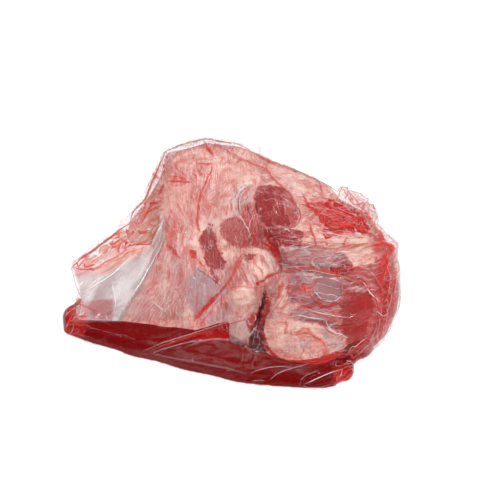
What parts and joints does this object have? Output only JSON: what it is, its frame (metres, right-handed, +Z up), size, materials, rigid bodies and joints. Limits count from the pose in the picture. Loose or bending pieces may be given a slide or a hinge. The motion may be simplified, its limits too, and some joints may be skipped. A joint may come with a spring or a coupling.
{
  "type": "corned beef brisket",
  "caption": "Whole corned beef brisket folded on itself in a loose clear sealed bag, with curing juice pooled along its front.",
  "frame": {"origin": "middle of the bag's outline seen from above, on the table the bag rests on", "axes": "+X along the bag's length, from its gathered corner to the round of the folded meat; +Y from the pooled juice at the front to the back; +Z up"},
  "size_m": [0.373, 0.3012, 0.1139],
  "materials": {
    "bag": "clear film over pale pink and dark red meat"
  },
  "bodies": {
    "root": {"bag": "bag"}
  },
  "joints": []
}
